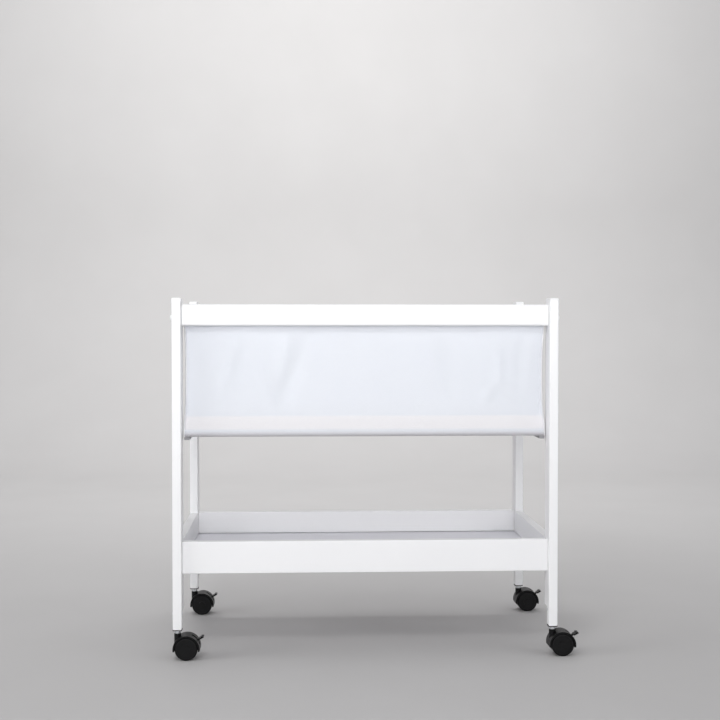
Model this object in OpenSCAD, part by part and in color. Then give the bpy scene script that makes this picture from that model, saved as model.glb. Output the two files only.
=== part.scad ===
// Bassinet on a stand: a mesh bag hung between wooden rails, a tray shelf and four braked castors.
// +X runs along the length, -Y is the front, +Z is up. The origin is on the floor, below the
// middle of the overall size, which the castors make a little unequal about the legs.

/* [Stand] */
// Length over the legs
stand_length = 850; // [700:5:1000]
// Distance from the front legs' front faces to the back legs' front faces
leg_spacing = 439; // [380:1:600]
// Height of the leg tops above the floor
stand_height = 793; // [700:1:900]
// Thickness of the boards that the stand is made of
board_t = 20; // [20:1:26]
// Width of a leg from front to back
leg_w = 50; // [44:1:60]
// Height of the narrow foot at the bottom of a leg
foot_h = 40; // [30:1:60]
// Rounding of the boards' edges
edge_r = 2; // [1:0.5:3]
// Rounding of the leg tops' outer and inner edges
top_r = 3; // [1:0.5:5]
// Gap left at each end of a rail or board that is bolted between two legs
joint_gap = 0.3; // [0.2:0.1:1.5]

/* [Top rails] */
// Height of a top rail
rail_h = 47; // [40:1:60]
// Distance of a top rail below the leg tops
rail_drop = 14; // [8:1:25]
// Rounding along a top rail
rail_r = 4; // [2:0.5:10]

/* [Tray shelf] */
// Height of the shelf boards' lower edges above the floor
shelf_z = 186; // [160:1:260]
// Height of a shelf board
shelf_h = 71; // [60:1:90]
// Thickness of the shelf floor
shelf_floor_t = 9; // [6:1:10]
// Height of the shelf floor's top above the boards' lower edges
shelf_floor_rise = 17; // [14:1:24]
// Depth of the groove that holds the shelf floor
groove_d = 6; // [4:0.5:8]
// Free height of the groove above the shelf floor
groove_free = 1.4; // [0.2:0.1:2]

/* [Bag and mattress] */
// Height of the bag's underside above the floor
bag_z = 486; // [450:1:560]
// Thickness of the mesh fabric
mesh_t = 1.6; // [1:0.1:2]
// Height of the sewn rim tape
rim_h = 34; // [25:1:38]
// Thickness of the base board
base_t = 12; // [6:1:14]
// Thickness of the mattress
mattress_t = 35; // [30:1:60]
// Width of a stiffening bar under the bag
bar_w = 12; // [10:1:20]
// Height of a stiffening bar
bar_h = 7; // [5:1:10]

/* [Castors] */
// Height of the legs' lower ends above the floor
castor_h = 65.5; // [65.5:0.5:70]
// Wheel diameter
wheel_d = 50; // [48:1:52]
// Tread width of one wheel
wheel_w = 14; // [12:0.5:15]
// Distance of the wheel axle behind the swivel axis
trail = 20; // [18:0.5:21]
// Outer radius of the hood over the wheels
hood_r = 29.5; // [29:0.5:30]

/* [Hidden] */
$fn = 64;
BASE_PARTS = [
    "top_rail_front", "top_rail_back", "end_rail_left", "end_rail_right",
    "shelf_board_front", "shelf_board_back", "shelf_board_left", "shelf_board_right", "shelf_floor",
    "rail_bolts", "bolt_caps", "rail_barrel_nuts", "end_rail_dowels", "side_board_dowels", "shelf_screws",
    "foot_pins", "stem_inserts", "foot_plates",
    "mesh_bag", "rim_tape", "hook_strips", "base_board", "base_bars", "bar_screws", "mattress"
];
CORNERS = ["front_left", "front_right", "back_left", "back_right"];
CASTOR_PARTS = ["stem", "hood", "near_wheel", "far_wheel", "axle", "brake_lever", "lever_pin"];

// Colours of the finishes
paint = [0.96, 0.96, 0.97];
zinc = [0.72, 0.73, 0.75];
black = [0.06, 0.06, 0.07];
birch = [0.86, 0.76, 0.60];
mesh = [0.93, 0.94, 0.98];
grey = [0.40, 0.40, 0.42];

// Fasteners and fits
fit_gap = 0.05;       // running fit on the radius
bolt_r = 3;
bolt_head_r = 5;
bolt_head_h = 3;
cap_r = 6.5;
cap_z = 1.8;          // gap between the leg and the rim of a bolt's cap
cap_h = 3.2;
bolt_l = 70;
barrel_r = 5;
barrel_l = 15;
dowel_r = 4;
dowel_l = 30;
screw_r = 2.5;
screw_head_r = 4;
screw_head_h = 1.2;
screw_l = 60;
bar_screw_r = 1.7;
foot_pin_r = 2.75;
foot_pin_proud = 1.6;
stem_r = 4;
stem_top = 26;        // length of stem inside the foot
insert_r = 6;
foot_plate_t = 2;

// Wooden frame, measured from the middle of the leg rectangle
half_x = stand_length / 2;
inner_x = half_x - board_t;
half_y = (leg_spacing + leg_w) / 2;
leg_len = stand_height - castor_h;
inner_len = 2 * inner_x;
side_len = leg_spacing - leg_w;
rail_z = stand_height - rail_drop - rail_h;
rail_mid_z = rail_z + rail_h / 2;
rail_bolt_z = rail_mid_z - 6;
shelf_mid_z = shelf_z + shelf_h / 2;
shelf_floor_z = shelf_z + shelf_floor_rise;
groove_z = shelf_floor_z - shelf_floor_t;
groove_h = shelf_floor_t + groove_free;
foot_pin_z = castor_h + foot_h - 5;
barrel_x = half_x - bolt_l + 5.5;
side = [-1, 1];

// Heights of the two dowels in each end of an end rail and of a side board
rail_dowel_z = [rail_mid_z - 12, rail_mid_z + 12];
board_dowel_z = [shelf_mid_z - 18, shelf_mid_z + 18];

// Front faces and centre lines of the front and back legs
leg_faces = [-half_y, -half_y + leg_spacing];
function leg_mid(i) = leg_faces[i] + leg_w / 2;
function stem_y(i) = leg_faces[i] + board_t / 2;
stem_x = half_x - board_t / 2;

// Bag, inside the four rails
bag_x = inner_x - 2;
bag_y0 = leg_mid(0) + board_t / 2 + 2;
bag_y1 = leg_mid(1) - board_t / 2 - 2;
rim_top_z = rail_z + rail_h - 5;
base_z = bag_z + mesh_t;
mattress_z = base_z + base_t;
mattress_gap = 4;

// Screw positions in the base board and the bars
bar_x_mid = bag_x - 1.5 - bar_w / 2;
bar_screw_y = [bag_y0 + 40, (bag_y0 + bag_y1) / 2, bag_y1 - 40];

// Castor, measured from its swivel axis
wheel_r = wheel_d / 2;
web_half = 7.5;       // half width of the hood's middle web
wheel_y0 = web_half + 0.5;
hood_half = wheel_y0 + wheel_w;
axle_r = 3;
nut_r = 6.8;
nut_h = 5.5;
nut_z = castor_h - foot_plate_t - nut_h;
hood_top = nut_z - 1.2;
boss_z = 32;
stem_z = boss_z + 1;
lever_angle = 28;     // how far the lever rises above level at rest
lever_pivot_r = 21;
lever_pivot_a = 40;
lever_l = 22.5;
lever_arm_half = 4;
lever_pin_r = 1.5;

// The castors trail to +X and stand forward, so the legs sit off the middle of the overall size
lever_reach = trail + lever_pivot_r * cos(lever_pivot_a) + lever_l * cos(lever_angle) + 1.6;
x_max = stem_x + lever_reach;
y_min = min(stem_y(0) - hood_half, -half_y);
legs_x = (half_x + cap_z + cap_h - x_max) / 2;
legs_y = (-y_min - half_y) / 2;

module place() {
    translate([legs_x, legs_y, 0]) children();
}

// Rectangle with round corners, its lower left corner at the origin
module round_rect(w, h, r) {
    translate([r, 0]) square([w - 2 * r, h]);
    translate([0, r]) square([w, h - 2 * r]);
    for (x = [r, w - r]) for (y = [r, h - r]) translate([x, y]) circle(r = r);
}

// Bars of round_rect section, along X and along Y, from the lowest corner
module bar_x(l, w, h, r) {
    rotate([90, 0, 90]) linear_extrude(height = l) round_rect(w, h, r);
}

module bar_y(l, w, h, r) {
    translate([0, l, 0]) rotate([90, 0, 0]) linear_extrude(height = l) round_rect(w, h, r);
}

// Bar along X between the legs, with a small gap at both ends
module rail_between_legs(h, r) {
    l = inner_len - 2 * joint_gap;
    translate([-l / 2, 0, 0]) bar_x(l, board_t, h, r);
}

// Cylinders along X and along Y, centred
module rod_x(r, l) {
    rotate([0, 90, 0]) cylinder(r = r, h = l, center = true);
}

module rod_y(r, l) {
    rotate([90, 0, 0]) cylinder(r = r, h = l, center = true);
}

// ---- Legs ----

// Side outline of a leg: the wide board and the narrow foot that is flush with its front
module leg_outline() {
    translate([0, foot_h]) round_rect(leg_w, leg_len - foot_h, 5);
    square([board_t, leg_len / 2]);
}

// sx is -1 for a left leg and 1 for a right leg, i is 0 for a front leg and 1 for a back leg
module leg(sx, i) {
    outer = sx * half_x;
    color(paint) place() difference() {
        translate([outer - (sx > 0 ? board_t : 0), leg_faces[i], castor_h]) intersection() {
            rotate([90, 0, 90]) linear_extrude(height = board_t) leg_outline();
            linear_extrude(height = leg_len) round_rect(board_t, leg_w, edge_r);
            translate([0, leg_w, 0]) rotate([90, 0, 0])
                linear_extrude(height = leg_w) round_rect(board_t, leg_len, top_r);
        }
        translate([outer, leg_mid(i), rail_bolt_z]) rod_x(bolt_r + 0.3, 3 * board_t);
        translate([outer, leg_mid(i), shelf_mid_z]) rod_x(screw_r + 0.2, 3 * board_t);
        translate([outer, leg_mid(i), shelf_mid_z]) rod_x(screw_head_r + 0.2, 4);
        translate([outer, stem_y(i), foot_pin_z]) rod_x(foot_pin_r + 0.02, 3 * board_t);
        translate([sx * stem_x, stem_y(i), castor_h - 1])
            cylinder(r = insert_r + 0.02, h = stem_top + 1);
        for (z = concat(rail_dowel_z, board_dowel_z))
            translate([sx * stem_x, leg_faces[i] + (i == 0 ? leg_w : 0), z])
                rod_y(dowel_r + 0.02, dowel_l + 1);
    }
}

// ---- Top rails ----

module top_rail(i) {
    color(paint) place() difference() {
        translate([0, leg_mid(i) - board_t / 2, rail_z]) rail_between_legs(rail_h, rail_r);
        for (s = side) {
            translate([s * inner_x, leg_mid(i), rail_bolt_z]) rod_x(bolt_r + 0.3, 110);
            translate([s * barrel_x, leg_mid(i), rail_bolt_z]) barrel_hole(i);
        }
    }
}

// Blind cross hole for a barrel nut, open on the rail's inner face
module barrel_hole(i) {
    toward = i == 0 ? 1 : -1;
    translate([0, toward * (board_t / 2 - barrel_l / 2), 0]) rod_y(barrel_r + 0.02, barrel_l + 2);
}

module end_rail(s) {
    color(paint) place() difference() {
        translate([s * stem_x - board_t / 2, -half_y + leg_w, rail_z])
            bar_y(side_len, board_t, rail_h, rail_r);
        rail_end_holes(s, rail_dowel_z);
    }
}

// Dowel holes in both ends of a piece that runs from a front leg to a back leg
module rail_end_holes(s, heights) {
    for (z = heights) for (y = [-half_y + leg_w, leg_faces[1]])
        translate([s * stem_x, y, z]) rod_y(dowel_r + 0.02, dowel_l + 1);
}

// ---- Tray shelf ----

module shelf_board_long(i) {
    toward = i == 0 ? 1 : -1;
    inner_y = leg_mid(i) + toward * board_t / 2;
    color(paint) place() difference() {
        translate([0, leg_mid(i) - board_t / 2, shelf_z]) rail_between_legs(shelf_h, edge_r);
        for (s = side)
            translate([s * inner_x, leg_mid(i), shelf_mid_z]) rod_x(screw_r + 0.02, 90);
        translate([-inner_len, inner_y - groove_d, groove_z])
            cube([2 * inner_len, 2 * groove_d, groove_h]);
    }
}

module shelf_board_side(s) {
    color(paint) place() difference() {
        translate([s * stem_x - board_t / 2, -half_y + leg_w, shelf_z])
            bar_y(side_len, board_t, shelf_h, edge_r);
        rail_end_holes(s, board_dowel_z);
        translate([s * inner_x - groove_d, -leg_spacing, groove_z])
            cube([2 * groove_d, 2 * leg_spacing, groove_h]);
    }
}

module shelf_floor() {
    y0 = leg_mid(0) + board_t / 2 - groove_d + 0.5;
    y1 = leg_mid(1) - board_t / 2 + groove_d - 0.5;
    side_y0 = -half_y + leg_w + 0.5;
    reach = inner_x + groove_d - 0.5;
    color(paint) place() translate([0, 0, shelf_floor_z - shelf_floor_t]) {
        translate([-inner_x + 0.2, y0, 0.1]) cube([inner_len - 0.4, y1 - y0, shelf_floor_t - 0.1]);
        translate([-reach, side_y0, 0.1])
            cube([2 * reach, leg_faces[1] - 0.5 - side_y0, shelf_floor_t - 0.1]);
    }
}

// ---- Fasteners of the frame ----

// Children at each leg's outer face, with +X pointing out of the stand
module at_legs() {
    for (s = side) for (i = [0, 1])
        translate([s * half_x, leg_mid(i), 0]) mirror([s < 0 ? 1 : 0, 0, 0]) children();
}

// Bolt along -X with a hexagon socket, the underside of its head at the origin
module rail_bolt() {
    difference() {
        union() {
            rotate([0, 90, 0]) cylinder(r = bolt_head_r, h = bolt_head_h);
            translate([-(bolt_l - 4) / 2, 0, 0]) rod_x(bolt_r, bolt_l - 4);
        }
        translate([bolt_head_h, 0, 0]) rotate([0, 90, 0]) cylinder(r = 2.3, h = 3, center = true, $fn = 6);
    }
}

// Domed plastic cap pressed over a bolt's head
module bolt_cap() {
    translate([cap_z, 0, 0]) rotate([0, 90, 0]) difference() {
        union() {
            cylinder(r = cap_r, h = 1.2);
            translate([0, 0, 1.2]) cylinder(r1 = cap_r, r2 = cap_r - 1.8, h = cap_h - 1.2);
        }
        translate([0, 0, -1]) cylinder(r = bolt_head_r + 0.02, h = bolt_head_h - cap_z + 1.05);
    }
}

module bolt_caps() {
    color(paint) place() translate([0, 0, rail_bolt_z]) at_legs() bolt_cap();
}

module rail_bolts() {
    color(black) place() translate([0, 0, rail_bolt_z]) at_legs() rail_bolt();
}

module rail_barrel_nuts() {
    color(zinc) place() for (s = side) for (i = [0, 1]) {
        toward = i == 0 ? 1 : -1;
        translate([s * barrel_x, leg_mid(i), rail_bolt_z]) difference() {
            translate([0, toward * (board_t / 2 - barrel_l / 2 - 0.5), 0]) rod_y(barrel_r, barrel_l);
            rod_x(bolt_r + 0.02, 4 * barrel_r);
        }
    }
}

module dowels(heights) {
    color(birch) place() for (s = side) for (z = heights) for (y = [-half_y + leg_w, leg_faces[1]])
        translate([s * stem_x, y, z]) rod_y(dowel_r, dowel_l);
}

module end_rail_dowels() {
    dowels(rail_dowel_z);
}

module side_board_dowels() {
    dowels(board_dowel_z);
}

// Shelf screw along -X with a low domed head that stands a little out of its counterbore
module shelf_screw() {
    difference() {
        union() {
            translate([-2, 0, 0]) rotate([0, 90, 0])
                cylinder(r1 = screw_head_r, r2 = screw_head_r - 0.8, h = 2 + screw_head_h);
            translate([-screw_l / 2, 0, 0]) rod_x(screw_r, screw_l - 4);
        }
        translate([screw_head_h, 0, 0]) rotate([0, 90, 0]) cylinder(r = 1.7, h = 3, center = true, $fn = 6);
    }
}

module shelf_screws() {
    color(zinc) place() translate([0, 0, shelf_mid_z]) at_legs() shelf_screw();
}

// Steel pin across each foot, above the castor's stem
module foot_pins() {
    color(zinc) place() for (s = side) for (i = [0, 1])
        translate([s * stem_x, stem_y(i), foot_pin_z]) rod_x(foot_pin_r, board_t + 2 * foot_pin_proud);
}

// Threaded sleeve pressed into each foot
module stem_inserts() {
    color(zinc) place() for (s = side) for (i = [0, 1])
        translate([s * stem_x, stem_y(i), castor_h]) difference() {
            cylinder(r = insert_r, h = stem_top - 0.5);
            translate([0, 0, -1]) cylinder(r = stem_r + 0.02, h = stem_top + 2);
        }
}

// Square black plate between each foot and its castor
module foot_plates() {
    color(black) place() for (s = side) for (i = [0, 1])
        translate([s * stem_x, stem_y(i), castor_h - foot_plate_t]) difference() {
            translate([-board_t / 2, -board_t / 2, 0])
                linear_extrude(height = foot_plate_t) round_rect(board_t, board_t, edge_r);
            translate([0, 0, -1]) cylinder(r = stem_r + 0.1, h = foot_plate_t + 2);
        }
}

// ---- Bag and mattress ----

// Box between the bag's outer faces, taken in by d on every side
module bag_block(d, z0, z1) {
    translate([-bag_x + d, bag_y0 + d, z0])
        cube([2 * (bag_x - d), bag_y1 - bag_y0 - 2 * d, z1 - z0]);
}

module mesh_bag() {
    color(mesh) place() difference() {
        bag_block(0, bag_z, rim_top_z);
        bag_block(mesh_t, base_z, rim_top_z + 1);
        bar_screw_holes(bag_z - 1, mesh_t + 2);
    }
}

// Woven tape sewn round the inside of the bag's top edge
module rim_tape() {
    color(paint) place() difference() {
        bag_block(mesh_t, rim_top_z - rim_h, rim_top_z);
        bag_block(2 * mesh_t, rim_top_z - rim_h - 1, rim_top_z + 1);
    }
}

// Hook-and-loop strips on the inner faces of the four rails, between the rails and the bag
module hook_strips() {
    strip_t = 1.7;
    strip_h = rim_h - 12;
    z = rail_mid_z - strip_h / 2;
    color(paint) place() {
        for (s = side) translate([s > 0 ? inner_x - strip_t : -inner_x, -side_len / 2 + 10, z])
            cube([strip_t, side_len - 20, strip_h]);
        translate([-inner_x + 20, bag_y0 - 2, z]) cube([inner_len - 40, strip_t, strip_h]);
        translate([-inner_x + 20, bag_y1 + 2 - strip_t, z]) cube([inner_len - 40, strip_t, strip_h]);
    }
}

// Holes for the screws that go up through the bars and the bag into the base board
module bar_screw_holes(z, h) {
    for (s = side) for (y = bar_screw_y)
        translate([s * bar_x_mid, y, z]) cylinder(r = bar_screw_r + 0.02, h = h);
}

module base_board() {
    color(birch) place() difference() {
        bag_block(mesh_t + 0.4, base_z, mattress_z - 0.2);
        bar_screw_holes(base_z - 1, base_t + 2);
    }
}

module base_bars() {
    color(grey) place() difference() {
        for (s = side) translate([s * bar_x_mid - bar_w / 2, bag_y0 + 2, bag_z - bar_h])
            bar_y(bag_y1 - bag_y0 - 4, bar_w, bar_h, edge_r);
        bar_screw_holes(bag_z - bar_h - 1, bar_h + 2);
    }
}

module bar_screws() {
    color(zinc) place() for (s = side) for (y = bar_screw_y)
        translate([s * bar_x_mid, y, bag_z - bar_h]) {
            translate([0, 0, -1.5]) cylinder(r1 = 2.4, r2 = 3.4, h = 1.5);
            cylinder(r = bar_screw_r, h = bar_h + mesh_t + base_t - 1.5);
        }
}

module mattress() {
    r = 14;
    w = 2 * (bag_x - mesh_t - mattress_gap);
    d = bag_y1 - bag_y0 - 2 * (mesh_t + mattress_gap);
    color([0.95, 0.94, 0.93]) place() translate([-w / 2, bag_y0 + mesh_t + mattress_gap, mattress_z])
        intersection() {
            linear_extrude(height = mattress_t) round_rect(w, d, 3 * r);
            bar_x(w, d, mattress_t, r);
            bar_y(d, w, mattress_t, r);
        }
}

// ---- Castors ----

// Children at one corner's swivel axis on the floor
module at_corner(c) {
    s = (c == 0 || c == 2) ? -1 : 1;
    i = c < 2 ? 0 : 1;
    place() translate([s * stem_x, stem_y(i), 0]) children();
}

// Steel stem: pin in the hood, hexagonal nut, thread in the foot
module stem() {
    color(zinc) {
        translate([0, 0, stem_z]) cylinder(r = stem_r, h = castor_h + stem_top - 1 - stem_z);
        translate([0, 0, nut_z]) cylinder(r = nut_r, h = nut_h, $fn = 6);
        translate([0, 0, nut_z - 0.8]) cylinder(r = nut_r - 0.8, h = 0.8);
    }
}

// Middle web and mudguard rim as one moulding, with the boss that turns on the stem
module hood() {
    color(black) difference() {
        union() {
            translate([trail, 0, wheel_r]) intersection() {
                rod_y(hood_r, 2 * hood_half);
                translate([-hood_r, -hood_half, -5]) cube([2 * hood_r, 2 * hood_half, 2 * hood_r]);
            }
            translate([0, 0, stem_z]) cylinder(r = web_half, h = hood_top - stem_z);
            translate([trail, 0, wheel_r]) rod_y(8, 2 * web_half);
        }
        for (s = side) translate([trail, s * (web_half + 20), wheel_r]) rod_y(wheel_r + 1.2, 40);
        translate([0, 0, boss_z]) cylinder(r = stem_r + fit_gap, h = hood_top);
        translate([trail, 0, wheel_r]) {
            rod_y(axle_r + 0.02, 4 * hood_half);
            lever_slot();
            lever_axis() rod_y(lever_pin_r + 0.02, 12);
        }
    }
}

// Children at the brake lever's pivot, measured from the axle
module lever_axis() {
    translate([lever_pivot_r * cos(lever_pivot_a), 0, lever_pivot_r * sin(lever_pivot_a)]) children();
}

// Opening in the hood for the lever's arm
module lever_slot() {
    slot_half = lever_arm_half + 0.4;
    translate([10, -slot_half, 6]) cube([30, 2 * slot_half, 22]);
}

// Twin wheel with round shoulders, a dished outer face and a hub cap
module wheel(s) {
    shoulder = 3;
    color(black) translate([trail, s * (wheel_y0 + wheel_w / 2), wheel_r])
        rotate([-s * 90, 0, 0]) translate([0, 0, -wheel_w / 2]) difference() {
            rotate_extrude() difference() {
                union() {
                    square([wheel_r - shoulder, wheel_w]);
                    translate([0, shoulder]) square([wheel_r, wheel_w - 2 * shoulder]);
                    for (z = [shoulder, wheel_w - shoulder])
                        translate([wheel_r - shoulder, z]) circle(r = shoulder);
                }
                translate([9, wheel_w - 1.2]) square([wheel_r - 14, 3]);
            }
            translate([0, 0, -1]) cylinder(r = axle_r + fit_gap, h = wheel_w - 1);
        }
}

module axle() {
    color(zinc) translate([trail, 0, wheel_r]) rod_y(axle_r, 2 * (wheel_y0 + wheel_w - 3));
}

// Lever of black plastic: an arm inside the hood's slot and a wide toe pad outside
module brake_lever() {
    pad_start = 12.5;
    color(black) translate([trail, 0, wheel_r]) lever_axis() rotate([0, -lever_angle, 0]) difference() {
        union() {
            rod_y(3.4, 2 * lever_arm_half);
            translate([0, -lever_arm_half, -1.6]) cube([pad_start + 2, 2 * lever_arm_half, 3.2]);
            translate([pad_start, -9, -1.6]) cube([lever_l - pad_start, 18, 3.2]);
            translate([lever_l, 0, 0]) rod_y(1.6, 18);
            translate([lever_l - 2.4, 0, 1.2]) rod_y(1.8, 18);
        }
        rod_y(lever_pin_r + fit_gap, 20);
    }
}

module lever_pin() {
    color(zinc) translate([trail, 0, wheel_r]) lever_axis() rod_y(lever_pin_r, 11.8);
}

module castor_part(p) {
    if (p == "stem") stem();
    if (p == "hood") hood();
    if (p == "near_wheel") wheel(-1);
    if (p == "far_wheel") wheel(1);
    if (p == "axle") axle();
    if (p == "brake_lever") brake_lever();
    if (p == "lever_pin") lever_pin();
}

leg(-1, 0);  // front_left_leg
leg(1, 0);  // front_right_leg
leg(-1, 1);  // back_left_leg
leg(1, 1);  // back_right_leg
top_rail(0);  // top_rail_front
top_rail(1);  // top_rail_back
end_rail(-1);  // end_rail_left
end_rail(1);  // end_rail_right
shelf_board_long(0);  // shelf_board_front
shelf_board_long(1);  // shelf_board_back
shelf_board_side(-1);  // shelf_board_left
shelf_board_side(1);  // shelf_board_right
shelf_floor();
rail_bolts();
bolt_caps();
rail_barrel_nuts();
end_rail_dowels();
side_board_dowels();
shelf_screws();
foot_pins();
stem_inserts();
foot_plates();
mesh_bag();
rim_tape();
hook_strips();
base_board();
base_bars();
bar_screws();
mattress();
for (c = [0 : 3]) for (p = CASTOR_PARTS)
    at_corner(c) castor_part(p);
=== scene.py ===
import math

import bmesh
import bpy
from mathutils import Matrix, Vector, noise


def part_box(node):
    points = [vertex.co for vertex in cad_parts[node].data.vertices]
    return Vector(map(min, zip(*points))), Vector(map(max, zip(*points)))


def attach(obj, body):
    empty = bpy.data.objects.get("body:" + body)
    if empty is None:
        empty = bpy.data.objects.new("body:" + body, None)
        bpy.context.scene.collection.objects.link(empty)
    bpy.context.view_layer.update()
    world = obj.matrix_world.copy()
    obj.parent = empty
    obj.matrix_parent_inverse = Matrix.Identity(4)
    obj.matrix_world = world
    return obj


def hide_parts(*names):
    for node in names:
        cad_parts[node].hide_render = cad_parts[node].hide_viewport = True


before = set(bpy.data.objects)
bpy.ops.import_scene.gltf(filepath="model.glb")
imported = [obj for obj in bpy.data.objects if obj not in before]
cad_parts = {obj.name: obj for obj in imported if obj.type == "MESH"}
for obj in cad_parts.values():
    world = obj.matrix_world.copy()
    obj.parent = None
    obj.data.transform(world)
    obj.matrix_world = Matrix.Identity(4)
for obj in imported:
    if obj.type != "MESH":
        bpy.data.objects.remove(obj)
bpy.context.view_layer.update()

scene = bpy.context.scene

# ---------------------------------------------------------------------------------------------
# Room, light and viewpoint
# A pale floor that sweeps up into a backdrop. Wide soft panels stand behind the camera and at
# both sides; a small one high on the left draws the shadow under the rails, and the sky is an
# even grey. The camera stands low, a little left of the middle.

front_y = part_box("front_left_leg")[0].y
mid_x = (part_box("front_left_leg")[0].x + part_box("front_right_leg")[1].x) / 2


def finish(name, **sockets):
    """A new material: returns it and its shader, with the constant sockets set on the shader."""
    made = bpy.data.materials.new(name)
    made.use_nodes = True
    shader = made.node_tree.nodes["Principled BSDF"]
    for socket, value in sockets.items():
        shader.inputs[socket.replace("_", " ")].default_value = value
    return made, shader


def node(shader, kind, **settings):
    """A new node beside the shader; settings are its own properties."""
    made = shader.id_data.nodes.new("ShaderNode" + kind)
    for key, value in settings.items():
        setattr(made, key, value)
    return made


def join(shader, source, target):
    shader.id_data.links.new(source, target)


def grain(shader, scale, stretch=(1, 1, 1), detail=4.0, distortion=0.0):
    """Noise over the piece's own coordinates in metres, stretched along the given axes."""
    place = node(shader, "TexCoord")
    mapping = node(shader, "Mapping")
    mapping.inputs["Scale"].default_value = stretch
    cloud = node(shader, "TexNoise")
    cloud.inputs["Scale"].default_value = scale
    cloud.inputs["Detail"].default_value = detail
    cloud.inputs["Distortion"].default_value = distortion
    join(shader, place.outputs["Object"], mapping.inputs["Vector"])
    join(shader, mapping.outputs["Vector"], cloud.inputs["Vector"])
    return cloud.outputs["Fac"]


def two_tone(shader, factor, first, second):
    """A colour that goes from first to second with the factor."""
    mix = node(shader, "Mix", data_type="RGBA")
    mix.inputs[6].default_value = (*first, 1)
    mix.inputs[7].default_value = (*second, 1)
    join(shader, factor, mix.inputs["Factor"])
    return mix.outputs[2]


floor_paint, shader = finish("floor_paint", Roughness=0.75)
mottle = two_tone(shader, grain(shader, 3.0), (0.54, 0.53, 0.525), (0.58, 0.57, 0.565))
join(shader, mottle, shader.inputs["Base Color"])
sweep_half, sweep_start, sweep_r, sweep_top = 14.0, 3.0, 1.4, 9.0
sweep_steps = 16
profile = [(-sweep_half, 0.0)]
for k in range(sweep_steps + 1):
    turn = math.radians(90 * k / sweep_steps)
    profile.append((sweep_start + sweep_r * math.sin(turn), sweep_r * (1 - math.cos(turn))))
profile.append((sweep_start + sweep_r, sweep_top))
sweep_mesh = bpy.data.meshes.new("studio_floor")
sweep_mesh.from_pydata([(side * sweep_half, y, z) for y, z in profile for side in (-1, 1)], [],
                       [(2 * k, 2 * k + 1, 2 * k + 3, 2 * k + 2) for k in range(len(profile) - 1)])
sweep_mesh.shade_smooth()
sweep_mesh.materials.append(floor_paint)
studio_floor = bpy.data.objects.new("studio_floor", sweep_mesh)
scene.collection.objects.link(studio_floor)

sky = bpy.data.worlds.new("sky")
scene.world = sky
sky.use_nodes = True
sky.node_tree.nodes["Background"].inputs["Color"].default_value = (0.80, 0.81, 0.84, 1)
sky.node_tree.nodes["Background"].inputs["Strength"].default_value = 0.50


def softbox(name, size, power, spot, aim, spread=180):
    """Rectangular area light at spot, turned to aim, whose light fans out over spread degrees."""
    data = bpy.data.lights.new(name, "AREA")
    data.shape = "RECTANGLE"
    data.size, data.size_y = size
    data.energy = power
    data.spread = math.radians(spread)
    lamp = bpy.data.objects.new(name, data)
    lamp.location = spot
    lamp.rotation_euler = (Vector(aim) - Vector(spot)).to_track_quat("-Z", "Y").to_euler()
    scene.collection.objects.link(lamp)


softbox("front_light", (2.8, 1.2), 9.2, (mid_x, front_y - 3.3, 1.2), (mid_x, 0, 1.04), spread=66)
softbox("key_light", (0.6, 0.35), 12.5, (mid_x - 0.6, front_y - 1.9, 2.1), (mid_x, 0, 0.7))
softbox("left_fill", (1.8, 1.8), 27, (mid_x - 3.0, front_y - 1.0, 0.9), (mid_x, 0, 0.5))
softbox("right_fill", (1.8, 1.8), 11, (mid_x + 2.6, front_y - 1.4, 1.6), (mid_x, 0, 0.5))
softbox("top_light", (2.0, 1.4), 8, (mid_x, 0.3, 2.9), (mid_x, 0, 0.4))
softbox("backdrop_light", (4.0, 1.0), 110, (mid_x, 1.6, 3.4), (mid_x, 4.4, 1.6))

camera_back, camera_left, camera_up = 2.746, 0.1426, 0.731
yaw, pitch = math.radians(2.675), math.radians(1.545)
lens = bpy.data.cameras.new("camera")
lens.sensor_width, lens.lens = 36.0, 62.74
camera = bpy.data.objects.new("camera", lens)
camera.location = (mid_x - camera_left, front_y - camera_back, camera_up)
looking = Vector((math.sin(yaw) * math.cos(pitch), math.cos(yaw) * math.cos(pitch), -math.sin(pitch)))
camera.rotation_euler = looking.to_track_quat("-Z", "Y").to_euler()
scene.collection.objects.link(camera)
scene.camera = camera
scene.view_settings.view_transform = "Standard"

# ---------------------------------------------------------------------------------------------
# Wooden stand: legs, top rails, end rails and the tray's four boards
# Planed pine boards 20 mm thick, sanded, primed and sprayed with white satin lacquer, which
# lets a little of the grain through and lies thinner on the edges.


def dress(node_name, made, edge=0.0):
    """Gives a rigid piece its finish, and a fine eased edge where edge is its width in metres."""
    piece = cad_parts[node_name]
    if not piece.material_slots:
        piece.data.materials.append(made)
    for slot in piece.material_slots:
        slot.material = made
    if edge:
        ease = piece.modifiers.new("eased_edge", "BEVEL")
        ease.width, ease.segments, ease.limit_method = edge, 2, "ANGLE"
        ease.angle_limit = math.radians(35)
        ease.harden_normals = True


def between(shader, factor, low, high, start=0.0, end=1.0):
    """The factor from start to end, turned into a number from low to high."""
    span = node(shader, "MapRange")
    span.inputs["From Min"].default_value = start
    span.inputs["From Max"].default_value = end
    span.inputs["To Min"].default_value = low
    span.inputs["To Max"].default_value = high
    join(shader, factor, span.inputs["Value"])
    return span.outputs["Result"]


def relief(shader, height, depth, strength=1.0):
    """Bump of the given depth in metres."""
    bump = node(shader, "Bump")
    bump.inputs["Strength"].default_value = strength
    bump.inputs["Distance"].default_value = depth
    join(shader, height, bump.inputs["Height"])
    join(shader, bump.outputs["Normal"], shader.inputs["Normal"])


def wash(shader, factor, under, tint):
    """The colour under, which turns into the tint as the factor goes to 1."""
    mix = node(shader, "Mix", data_type="RGBA")
    mix.inputs[7].default_value = (*tint, 1)
    join(shader, factor, mix.inputs["Factor"])
    join(shader, under, mix.inputs[6])
    return mix.outputs[2]


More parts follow.
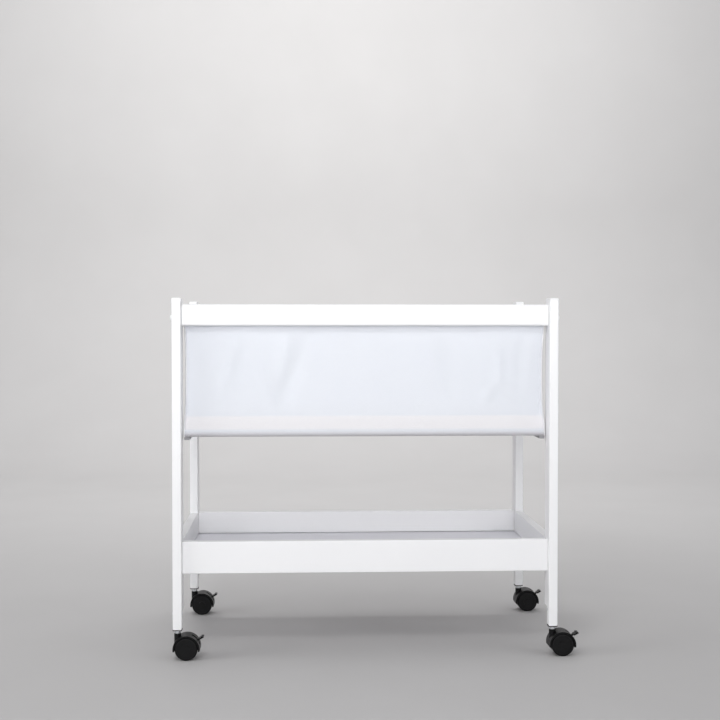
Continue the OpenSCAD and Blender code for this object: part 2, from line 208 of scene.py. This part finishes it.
def white_lacquer(name, along):
    """Satin lacquer on pine whose grain runs along the given axis."""
    made, shader = finish(name, Specular_IOR_Level=0.45, Coat_Weight=0.12, Coat_Roughness=0.25)
    squeeze = tuple(0.06 if axis == along else 1.0 for axis in "XYZ")
    fibres = grain(shader, 260.0, squeeze, detail=5.0, distortion=0.4)
    bands = grain(shader, 28.0, squeeze, detail=2.0)
    clouds = grain(shader, 7.0)
    edges = node(shader, "Bevel", samples=4)
    edges.inputs["Radius"].default_value = 0.0016
    flat = node(shader, "NewGeometry")
    facing = node(shader, "VectorMath", operation="DOT_PRODUCT")
    join(shader, edges.outputs["Normal"], facing.inputs[0])
    join(shader, flat.outputs["Normal"], facing.inputs[1])
    thin = between(shader, facing.outputs["Value"], 0.55, 0.0, 0.80, 0.98)
    base = two_tone(shader, clouds, (0.905, 0.905, 0.915), (0.935, 0.935, 0.945))
    join(shader, wash(shader, thin, base, (0.88, 0.86, 0.82)), shader.inputs["Base Color"])
    join(shader, between(shader, bands, 0.30, 0.42), shader.inputs["Roughness"])
    height = node(shader, "Math", operation="ADD")
    join(shader, fibres, height.inputs[0])
    join(shader, bands, height.inputs[1])
    relief(shader, height.outputs["Value"], 0.00012, 0.35)
    return made


lacquer = {axis: white_lacquer("white_lacquer_" + axis.lower(), axis) for axis in "XYZ"}
corners = ("front_left", "front_right", "back_left", "back_right")
for corner in corners:
    dress(corner + "_leg", lacquer["Z"])
for long_piece in ("top_rail_front", "top_rail_back", "shelf_board_front", "shelf_board_back"):
    dress(long_piece, lacquer["X"], 0.0004)
for cross_piece in ("end_rail_left", "end_rail_right", "shelf_board_left", "shelf_board_right"):
    dress(cross_piece, lacquer["Y"], 0.0004)

# ---------------------------------------------------------------------------------------------
# Tray floor
# A 9 mm fibreboard panel faced with white foil that has a very fine pebbled face. It slides
# into the grooves of the four boards.

foil, shader = finish("white_foil", Specular_IOR_Level=0.5)
# The white foil is given a grey-blue tone: painted shade and painted reflection of the boards, as the tray
# floor is seen at a grazing angle.
tint = two_tone(shader, grain(shader, 5.0), (0.78, 0.78, 0.83), (0.81, 0.81, 0.85))
join(shader, tint, shader.inputs["Base Color"])
pebble = grain(shader, 900.0, detail=2.0)
join(shader, between(shader, pebble, 0.34, 0.48), shader.inputs["Roughness"])
relief(shader, pebble, 0.00006, 0.3)
dress("shelf_floor", foil)

# ---------------------------------------------------------------------------------------------
# Bolts, screws, pins, nuts and inserts
# Mild steel. The rails' bolts are black, which shows as a dark ring between each cap and its leg; all the
# others are zinc plated and
# clear passivated: bright, with faint drag marks and dull patches.

zinc, shader = finish("zinc_plate", Metallic=1.0)
drag = grain(shader, 700.0, (1, 1, 0.2), detail=3.0)
join(shader, two_tone(shader, grain(shader, 160.0), (0.60, 0.62, 0.65), (0.76, 0.77, 0.78)),
     shader.inputs["Base Color"])
join(shader, between(shader, drag, 0.24, 0.44), shader.inputs["Roughness"])
relief(shader, drag, 0.00003, 0.4)
for fastener in ("rail_barrel_nuts", "shelf_screws", "foot_pins", "stem_inserts", "bar_screws"):
    dress(fastener, zinc)

# Black for the rail bolts, which gives the dark ring between each cap and its leg.
black_ring_steel, shader = finish("black_ring_steel", Specular_IOR_Level=0.4)
rubbed = grain(shader, 300.0, detail=3.0)
join(shader, two_tone(shader, rubbed, (0.010, 0.010, 0.011), (0.022, 0.022, 0.024)),
     shader.inputs["Base Color"])
join(shader, between(shader, rubbed, 0.35, 0.50), shader.inputs["Roughness"])
dress("rail_bolts", black_ring_steel)

# ---------------------------------------------------------------------------------------------
# Bolt caps
# Domed caps of white polypropylene, satin from the mould. They are pressed over the rail bolts'
# heads and stand a little off the legs.

cap_plastic, shader = finish("white_polypropylene", Specular_IOR_Level=0.5, Subsurface_Weight=0.05)
flow = grain(shader, 300.0, detail=3.0)
join(shader, two_tone(shader, flow, (0.86, 0.86, 0.86), (0.90, 0.90, 0.90)), shader.inputs["Base Color"])
join(shader, between(shader, flow, 0.32, 0.44), shader.inputs["Roughness"])
relief(shader, flow, 0.00004, 0.4)
dress("bolt_caps", cap_plastic, 0.0005)

# ---------------------------------------------------------------------------------------------
# Dowels, inside the joints of the end frames
# Fluted birch dowels, bare, glued into the end rails and the tray's side boards and into the
# legs beside them.

birch, shader = finish("bare_birch", Roughness=0.7)
streak = grain(shader, 220.0, (1, 0.08, 1), detail=4.0)
join(shader, two_tone(shader, streak, (0.52, 0.36, 0.20), (0.72, 0.55, 0.36)), shader.inputs["Base Color"])
relief(shader, streak, 0.0001, 0.5)
dress("end_rail_dowels", birch)
dress("side_board_dowels", birch)

# ---------------------------------------------------------------------------------------------
# Mesh bag walls
# One long band of white warp-knit polyester mesh with round holes, sewn into a loop, its top
# hemmed on the rim tape and its bottom sewn to the bottom panel. It hangs between the rails and
# is drawn in between its corners by its own tension.

bag_low, bag_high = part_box("mesh_bag")
pad_low, pad_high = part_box("mattress")
cloth_t = 0.0009
corner_round = 0.005
knit_step = 0.009


def knit_mesh(name, pitch):
    """White knit with staggered round holes; its colour is brightened as painted light where the mattress
    lies behind it and darkened as painted shade over the base board.

    Its pattern is laid out by the piece's own cloth coordinates, of which Y is the height."""
    made, shader = finish(name, Roughness=0.72, Sheen_Weight=0.25, Sheen_Roughness=0.5,
                          Specular_IOR_Level=0.3)
    laid = node(shader, "Attribute", attribute_name="cloth")
    parts = node(shader, "SeparateXYZ")
    join(shader, laid.outputs["Vector"], parts.inputs["Vector"])
    waves = []
    for axis in "XY":
        scaled = node(shader, "Math", operation="MULTIPLY")
        scaled.inputs[1].default_value = 2 * math.pi / pitch
        join(shader, parts.outputs[axis], scaled.inputs[0])
        wave = node(shader, "Math", operation="COSINE")
        join(shader, scaled.outputs["Value"], wave.inputs[0])
        waves.append(wave.outputs["Value"])
    cells = node(shader, "Math", operation="MULTIPLY")
    join(shader, waves[0], cells.inputs[0])
    join(shader, waves[1], cells.inputs[1])
    solid = between(shader, cells.outputs["Value"], 1.0, 0.35, 0.10, 0.40)
    join(shader, solid, shader.inputs["Alpha"])
    free = two_tone(shader, grain(shader, 9.0), (0.86, 0.885, 0.945), (0.905, 0.93, 0.98))
    up = parts.outputs["Y"]
    # Painted light: the knit is washed brighter and warmer over the mattress's height, for the lit
    # mattress seen through it.
    painted_glow_zone = node(shader, "Math", operation="MULTIPLY")
    join(shader, between(shader, up, 1.0, 0.0, pad_high.z - 0.006, pad_high.z), painted_glow_zone.inputs[0])
    join(shader, between(shader, up, 0.0, 1.0, pad_low.z, pad_low.z + 0.005), painted_glow_zone.inputs[1])
    painted_pad_glow = wash(shader, painted_glow_zone.outputs["Value"], free, (0.97, 0.96, 0.985))
    # Painted shade: the knit is washed darker over the base board's height, along the bag's bottom.
    board = between(shader, up, 1.0, 0.0, bag_low.z + 0.001, bag_low.z + 0.0135)
    join(shader, wash(shader, board, painted_pad_glow, (0.62, 0.60, 0.63)), shader.inputs["Base Color"])
    relief(shader, cells.outputs["Value"], 0.0003, 0.3)
    return made


def rounded_loop(low, high, radius, step):
    """Points round a rectangle with round corners, as (x, y, outward x, outward y, distance)."""
    spots, run = [], 0.0
    centres = [(high.x - radius, low.y + radius, -90), (high.x - radius, high.y - radius, 0),
               (low.x + radius, high.y - radius, 90), (low.x + radius, low.y + radius, 180)]
    arc_steps = 4
    for k, (cx, cy, start) in enumerate(centres):
        for a in range(arc_steps + 1):
            turn = math.radians(start + 90 * a / arc_steps)
            out = (math.cos(turn), math.sin(turn))
            spots.append((cx + radius * out[0], cy + radius * out[1], *out))
        nx, ny, nstart = centres[(k + 1) % 4]
        turn = math.radians(nstart)
        out = (math.cos(turn), math.sin(turn))
        end = (nx + radius * out[0], ny + radius * out[1])
        begin = spots[-1]
        length = math.dist(end, begin[:2])
        count = max(2, round(length / step))
        for i in range(1, count):
            t = i / count
            spots.append((begin[0] + (end[0] - begin[0]) * t, begin[1] + (end[1] - begin[1]) * t, *out))
    loop = []
    for i, spot in enumerate(spots):
        if i:
            run += math.dist(spot[:2], spots[i - 1][:2])
        loop.append((*spot, run))
    return loop


def grid_piece(name, rows, made, closed=True, cloth=None):
    """A skin from equal rows of points, each row closed into a loop; cloth gives its coordinates."""
    wide = len(rows[0])
    faces = []
    for r in range(len(rows) - 1):
        for c in range(wide if closed else wide - 1):
            d = (c + 1) % wide
            faces.append((r * wide + c, r * wide + d, (r + 1) * wide + d, (r + 1) * wide + c))
    mesh = bpy.data.meshes.new(name)
    mesh.from_pydata([p for row in rows for p in row], [], faces)
    mesh.shade_smooth()
    mesh.materials.append(made)
    if cloth:
        laid = mesh.attributes.new("cloth", "FLOAT_VECTOR", "POINT")
        for spot, value in zip(laid.data, [c for row in cloth for c in row]):
            spot.vector = value
    piece = bpy.data.objects.new(name, mesh)
    scene.collection.objects.link(piece)
    return piece


def settle(piece, frames, cap, **settings):
    """Runs a cloth simulation on the piece, then moves its points there, none further than cap."""
    cloth = piece.modifiers.new("settling", "CLOTH")
    for key, value in settings.items():
        setattr(cloth.settings, key, value)
    cloth.settings.effector_weights.gravity = 0
    cloth.collision_settings.use_collision = False
    cloth.collision_settings.use_self_collision = False
    cloth.point_cache.frame_start, cloth.point_cache.frame_end = 1, frames
    for moment in range(1, frames + 1):
        scene.frame_set(moment)
    settled = piece.evaluated_get(bpy.context.evaluated_depsgraph_get()).to_mesh()
    moves = [settled.vertices[i].co - v.co for i, v in enumerate(piece.data.vertices)]
    piece.modifiers.remove(cloth)
    scene.frame_set(1)
    for v, move in zip(piece.data.vertices, moves):
        if move.length > cap:
            move.length = cap
        v.co += move


rim_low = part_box("rim_tape")[0].z
wall_inset = Vector((0.0006, 0.0006, 0))
loop = rounded_loop(bag_low + wall_inset, bag_high - wall_inset, corner_round, knit_step)
wall_rows = round((bag_high.z - bag_low.z) / knit_step)
heights = [bag_low.z + (bag_high.z - bag_low.z) * r / wall_rows for r in range(wall_rows + 1)]
band = [[(x, y, z) for x, y, _, _, _ in loop] for z in heights]
laid = [[(run, z, 0) for _, _, _, _, run in loop] for z in heights]
walls = grid_piece("bag_walls", band, knit_mesh("knit_mesh_walls", 0.0028), cloth=laid)
padded_up_to = bag_low.z + 0.032
hem_reach, pad_reach = 0.05, 0.02
held = walls.vertex_groups.new(name="held")
for v in walls.data.vertices:
    from_hem = (rim_low - v.co.z) / hem_reach
    from_pad = (v.co.z - padded_up_to) / pad_reach
    held.add([v.index], max(0.0, 1 - max(0.0, min(from_hem, from_pad))) ** 2, "REPLACE")
settle(walls, 24, 0.011, quality=8, mass=0.2, tension_stiffness=25, compression_stiffness=25,
       shear_stiffness=8, bending_stiffness=0.3, shrink_min=0.020, vertex_group_mass="held")

# The hanging mesh keeps a few long soft creases and ridges that fan out below the top corners,
# and a ripple under the rim tape where the stitching gathers it.

wall_points = walls.data.vertices
span_x = bag_high.x - bag_low.x
drop = bag_high.z - bag_low.z
sink, lean = 0.0016, 0.0012
hem_z = bag_low.z + 0.004
# each crease: start and end along a long panel and down it, as shares, then its depth and width
creases = [(0.17, 0.12, 0.09, 0.72, -0.0044, 0.011), (0.195, 0.36, 0.245, 0.76, -0.0048, 0.010),
           (0.14, 0.30, 0.16, 0.62, 0.0036, 0.016), (0.37, 0.08, 0.25, 0.86, 0.0054, 0.022),
           (0.29, 0.10, 0.265, 0.55, -0.0036, 0.014), (0.87, 0.34, 0.88, 0.62, -0.0051, 0.009),
           (0.87, 0.56, 0.83, 0.74, -0.0044, 0.010), (0.88, 0.56, 0.94, 0.76, -0.0044, 0.012),
           (0.72, 0.20, 0.75, 0.72, 0.0037, 0.020), (0.95, 0.10, 0.93, 0.66, 0.0037, 0.014)]


def crease_depth(across, down):
    """How far the creases push in a long panel, at a place given as shares of its size."""
    depth = 0.0
    for a0, d0, a1, d1, deep, wide in creases:
        dx, dy = (a1 - a0) * span_x, (d1 - d0) * drop
        px, py = (across - a0) * span_x, (down - d0) * drop
        t = max(0.0, min(1.0, (px * dx + py * dy) / (dx * dx + dy * dy)))
        off = math.hypot(px - t * dx, py - t * dy)
        depth += deep * math.exp(-(off / wide) ** 2) * math.sin(math.pi * (0.1 + 0.8 * t))
    return depth


def slack(z):
    """How loose the cloth is at a height: 0 at the hems, 1 halfway between them."""
    return math.sin(math.pi * min(1, max(0, (z - hem_z) / (rim_low - hem_z))))


def pushed_in(x, y, z, down, on_long_side):
    """Total depth of the creases, the sag between them and the gathering under the rim."""
    gather = 0.0014 * noise.noise(Vector((x * 14, y * 14, 1.7))) * math.exp(-(down - 0.14) ** 2 * 90)
    sag = 0.0016 * noise.noise(Vector((x * 4, z * 5, y * 4)))
    crease = crease_depth((x - bag_low.x) / span_x, down) if on_long_side else 0.0
    return slack(z) ** 0.5 * (sag + crease) + gather


for v, (x, y, z) in zip(wall_points, [p for row in band for p in row]):
    free = slack(z)
    if free <= 0:
        continue
    on_long_side = abs(y - bag_low.y) < 0.004 or abs(y - bag_high.y) < 0.004
    push = pushed_in(x, y, z, (bag_high.z - v.co.z) / drop, on_long_side)
    if on_long_side:
        inward = Vector((0, math.copysign(1, (bag_low.y + bag_high.y) / 2 - y), 0))
    else:
        inward = Vector((math.copysign(1, (bag_low.x + bag_high.x) / 2 - x), 0, 0))
    v.co += inward * (push + sink * free) - Vector((lean * free, 0, 0))
thicken = walls.modifiers.new("cloth_thickness", "SOLIDIFY")
thicken.thickness, thicken.offset = cloth_t, -1
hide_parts("mesh_bag")
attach(walls, "stand")

# ---------------------------------------------------------------------------------------------
# Bag corner tapes
# A folded tape of white polyester covers the seam at each corner of the bag, sewn on with a
# lockstitch.


def woven_tape(name, pitch, low, high):
    """Woven tape: fine crossed ribs between two close tints."""
    made, shader = finish(name, Roughness=0.65, Sheen_Weight=0.2, Specular_IOR_Level=0.3)
    ribs = grain(shader, 1.0 / pitch, (1, 1, 2.2), detail=2.0)
    join(shader, two_tone(shader, ribs, low, high), shader.inputs["Base Color"])
    relief(shader, ribs, 0.0002, 0.6)
    return made


tape = woven_tape("woven_tape", 0.0016, (0.78, 0.79, 0.84), (0.86, 0.87, 0.90))
seam_tape = woven_tape("seam_tape", 0.0012, (0.84, 0.84, 0.86), (0.90, 0.90, 0.92))
wide = len(loop)
corner_columns = [i + 1 for i, (_, _, ox, oy, _) in enumerate(loop)
                  if 0 < i and abs(ox * oy) > 1e-6 and abs(loop[i - 1][2] * loop[i - 1][3]) < 1e-6]
beside = range(-1, 2)
proud = 0.0006
seam_faces, seam_points = [], []
for column in corner_columns:
    first = len(seam_points)
    for r in range(len(heights)):
        for c in beside:
            i = r * wide + (column + c) % wide
            x, y, ox, oy, _ = loop[(column + c) % wide]
            seam_points.append(wall_points[i].co + Vector((ox, oy, 0)) * proud)
    n = len(beside)
    for r in range(len(heights) - 1):
        for c in range(n - 1):
            a = first + r * n + c
            seam_faces.append((a, a + 1, a + n + 1, a + n))
tapes_mesh = bpy.data.meshes.new("bag_corner_tapes")
tapes_mesh.from_pydata(seam_points, [], seam_faces)
tapes_mesh.shade_smooth()
tapes_mesh.materials.append(seam_tape)
corner_tapes = bpy.data.objects.new("bag_corner_tapes", tapes_mesh)
scene.collection.objects.link(corner_tapes)
thicken = corner_tapes.modifiers.new("tape_thickness", "SOLIDIFY")
thicken.thickness, thicken.offset = 0.0005, 1
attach(corner_tapes, "stand")

# ---------------------------------------------------------------------------------------------
# Bag bottom
# A rectangle of the same mesh, drawn flat by the base board that lies on it.

bottom_steps = 24
hem_in = 0.0009
lift, dimple = 0.0008, 0.0005
low, high = bag_low + wall_inset, bag_high - wall_inset
rows, laid = [], []
for j in range(bottom_steps + 1):
    y = low.y + hem_in + (high.y - low.y - 2 * hem_in) * j / bottom_steps
    row = []
    for i in range(2 * bottom_steps + 1):
        x = low.x + hem_in + (high.x - low.x - 2 * hem_in) * i / (2 * bottom_steps)
        belly = dimple * noise.noise(Vector((x * 9, y * 9, 0.3)))
        row.append((x, y, bag_low.z + lift + belly))
    rows.append(row)
    laid.append([(x, y, 0) for x, y, _ in row])
bottom = grid_piece("bag_bottom", rows, knit_mesh("knit_mesh_bottom", 0.0028), closed=False, cloth=laid)
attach(bottom, "stand")

# ---------------------------------------------------------------------------------------------
# Rim tape and hook strips
# A woven tape folded over the bag's top edge and stitched twice; its outside carries the loop
# half of a hook-and-loop fastening, whose hook half is stapled to the rails.

rim_section = [(0.0034, 0.0), (0.0034, 0.034), (0.0030, 0.0348), (0.0016, 0.0352),
               (0.0002, 0.0348), (-0.0002, 0.034), (-0.0002, 0.004)]
rim_sink, rim_wave = 0.0012, 0.0006
rim_rows = []
for inside, up in rim_section:
    ring = rounded_loop(bag_low + wall_inset + Vector((inside, inside, 0)),
                        bag_high - wall_inset - Vector((inside, inside, 0)),
                        max(0.003, corner_round - inside), knit_step)
    rim_rows.append([(x, y, rim_low + up - rim_sink + rim_wave * noise.noise(Vector((x * 11, y * 11, 5))))
                     for x, y, _, _, _ in ring])
assert len({len(row) for row in rim_rows}) == 1, "the rim tape's rings have different counts"
rim = grid_piece("rim_tape_folded", rim_rows, tape)
fold = rim.modifiers.new("tape_thickness", "SOLIDIFY")
fold.thickness, fold.offset = 0.0006, 1
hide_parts("rim_tape")
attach(rim, "stand")

hooks, shader = finish("hook_strip", Roughness=0.8, Sheen_Weight=0.4, Specular_IOR_Level=0.25)
nap = grain(shader, 1400.0, detail=2.0)
join(shader, two_tone(shader, nap, (0.70, 0.70, 0.73), (0.92, 0.92, 0.94)), shader.inputs["Base Color"])
relief(shader, nap, 0.0004, 0.8)
dress("hook_strips", hooks)

# ---------------------------------------------------------------------------------------------
# Base board
# A 12 mm fibreboard panel that lies on the bag's bottom and is screwed to the bars under it; bare,
# its sawn edge a little fuzzy.

hardboard, shader = finish("hardboard", Roughness=0.8, Specular_IOR_Level=0.3)
chips = grain(shader, 420.0, detail=6.0)
join(shader, two_tone(shader, chips, (0.25, 0.21, 0.18), (0.35, 0.30, 0.26)), shader.inputs["Base Color"])
relief(shader, chips, 0.0002, 0.5)
dress("base_board", hardboard)

# ---------------------------------------------------------------------------------------------
# Bars under the bag
# Two extruded bars of grey plastic, one at each end, that keep the bag's bottom straight. They
# are screwed up through the mesh into the base board. Their dark grey is partly painted shade.

bar_grey_and_shade, shader = finish("grey_plastic", Specular_IOR_Level=0.35)
die_lines = grain(shader, 500.0, (1, 0.02, 1), detail=3.0)
# Dark grey: partly the plastic's own grey, partly painted shade for the shade under the bag's corners.
join(shader, two_tone(shader, die_lines, (0.27, 0.27, 0.28), (0.33, 0.33, 0.34)),
     shader.inputs["Base Color"])
join(shader, between(shader, die_lines, 0.40, 0.55), shader.inputs["Roughness"])
relief(shader, die_lines, 0.00005, 0.4)
dress("base_bars", bar_grey_and_shade, 0.0006)

# ---------------------------------------------------------------------------------------------
# Mattress
# A 35 mm polyester pad in a quilted white cotton cover with piping along its top and bottom
# edges. The pad swells a little between the seams.


def piping(name, points, radius, made):
    """A round cord along a closed run of points."""
    data = bpy.data.curves.new(name, "CURVE")
    data.dimensions = "3D"
    data.bevel_depth, data.bevel_resolution = radius, 3
    line = data.splines.new("POLY")
    line.points.add(len(points) - 1)
    for spot, p in zip(line.points, points):
        spot.co = (*p, 1)
    line.use_cyclic_u = True
    data.materials.append(made)
    piece = bpy.data.objects.new(name, data)
    scene.collection.objects.link(piece)
    return piece


pad_round = 0.042
swell = 0.002
voxel = 0.006
quilt_pitch, stitch_depth = 0.062, 0.0022
plain_margin, margin_fade = 0.012, 0.03
swell_inset = Vector((swell, swell, 0))
plan = rounded_loop(pad_low + swell_inset, pad_high - swell_inset, pad_round, 0.02)
block = bmesh.new()
rings = []
for z, inset in ((pad_low.z + 0.001, 0.006), (pad_low.z + 0.006, 0), (pad_high.z - 0.007, 0),
                 (pad_high.z - 0.002, 0.006)):
    rings.append([block.verts.new((x - ox * inset, y - oy * inset, z)) for x, y, ox, oy, _ in plan])
for below, above in zip(rings, rings[1:]):
    for i in range(len(plan)):
        j = (i + 1) % len(plan)
        block.faces.new((below[i], below[j], above[j], above[i]))
block.faces.new(list(reversed(rings[0])))
block.faces.new(rings[-1])
pad_mesh = bpy.data.meshes.new("mattress_pad")
block.to_mesh(pad_mesh)
block.free()
pad = bpy.data.objects.new("mattress_pad", pad_mesh)
scene.collection.objects.link(pad)
remesh = pad.modifiers.new("even_cells", "REMESH")
remesh.mode, remesh.voxel_size = "VOXEL", voxel
even = bpy.data.meshes.new_from_object(pad.evaluated_get(bpy.context.evaluated_depsgraph_get()))
pad.modifiers.remove(remesh)
pad.data = even
settle(pad, 20, swell, quality=5, mass=0.3, use_pressure=True, uniform_pressure_force=4.0,
       tension_stiffness=15, bending_stiffness=0.5)
for v in pad.data.vertices:
    top = (v.co.z - pad_low.z) / (pad_high.z - pad_low.z)
    if top > 0.8:
        a = (v.co.x + v.co.y) * math.pi / quilt_pitch
        b = (v.co.x - v.co.y) * math.pi / quilt_pitch
        stitched = min(abs(math.sin(a)), abs(math.sin(b)))
        edge = min(v.co.x - pad_low.x, pad_high.x - v.co.x, v.co.y - pad_low.y, pad_high.y - v.co.y)
        fade = min(1.0, max(0.0, (edge - plain_margin) / margin_fade))
        v.co.z -= stitch_depth * fade * (1 - min(1.0, stitched * 2.2)) ** 2
    v.co.z = max(v.co.z, pad_low.z)
pad.data.shade_smooth()
smooth = pad.modifiers.new("smooth", "SUBSURF")
smooth.levels = smooth.render_levels = 1

cotton, shader = finish("white_cotton", Roughness=0.85, Sheen_Weight=0.35, Sheen_Roughness=0.4,
                        Specular_IOR_Level=0.25)
weave = grain(shader, 900.0, detail=2.0)
join(shader, two_tone(shader, grain(shader, 12.0), (0.88, 0.86, 0.84), (0.93, 0.92, 0.90)),
     shader.inputs["Base Color"])
relief(shader, weave, 0.0003, 0.5)
pad.data.materials.clear()
pad.data.materials.append(cotton)
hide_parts("mattress")
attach(pad, "mattress")

seam_r, seam_proud = 0.0018, 0.0012
low_seam, high_seam = pad_low.z + 0.0055, pad_high.z - 0.0065
for name, z in (("mattress_piping_low", low_seam), ("mattress_piping_high", high_seam)):
    run = [(x + ox * seam_proud, y + oy * seam_proud, z) for x, y, ox, oy, _ in plan]
    seam = piping(name, run, seam_r, cotton)
    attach(seam, "mattress")

# ---------------------------------------------------------------------------------------------
# Castors
# Twin-wheel furniture castors: hood, wheels and brake lever are injection moulded black nylon
# with a fine spark-eroded face, worn satin on the treads. The stems are zinc plated steel, and a
# black plate lies between each stem's nut and the foot.


def black_nylon(name, low_shine, high_shine):
    """Black moulded face with a little dust, its roughness between the two numbers."""
    made, shader = finish(name, Specular_IOR_Level=0.2)
    spark = grain(shader, 1600.0, detail=2.0)
    dust = grain(shader, 60.0, detail=5.0)
    join(shader, two_tone(shader, dust, (0.003, 0.003, 0.0033), (0.006, 0.006, 0.0065)),
         shader.inputs["Base Color"])
    join(shader, between(shader, dust, low_shine, high_shine), shader.inputs["Roughness"])
    relief(shader, spark, 0.00008, 0.5)
    return made


hood_nylon = black_nylon("hood_nylon", 0.34, 0.48)
wheel_nylon = black_nylon("wheel_nylon", 0.42, 0.60)
dress("foot_plates", black_nylon("black_rubber", 0.75, 0.9))
for corner in corners:
    dress(corner + "_hood", hood_nylon, 0.0006)
    dress(corner + "_brake_lever", hood_nylon, 0.0004)
    for wheel_name in ("_near_wheel", "_far_wheel"):
        dress(corner + wheel_name, wheel_nylon)
    for steel in ("_stem", "_axle", "_lever_pin"):
        dress(corner + steel, zinc)
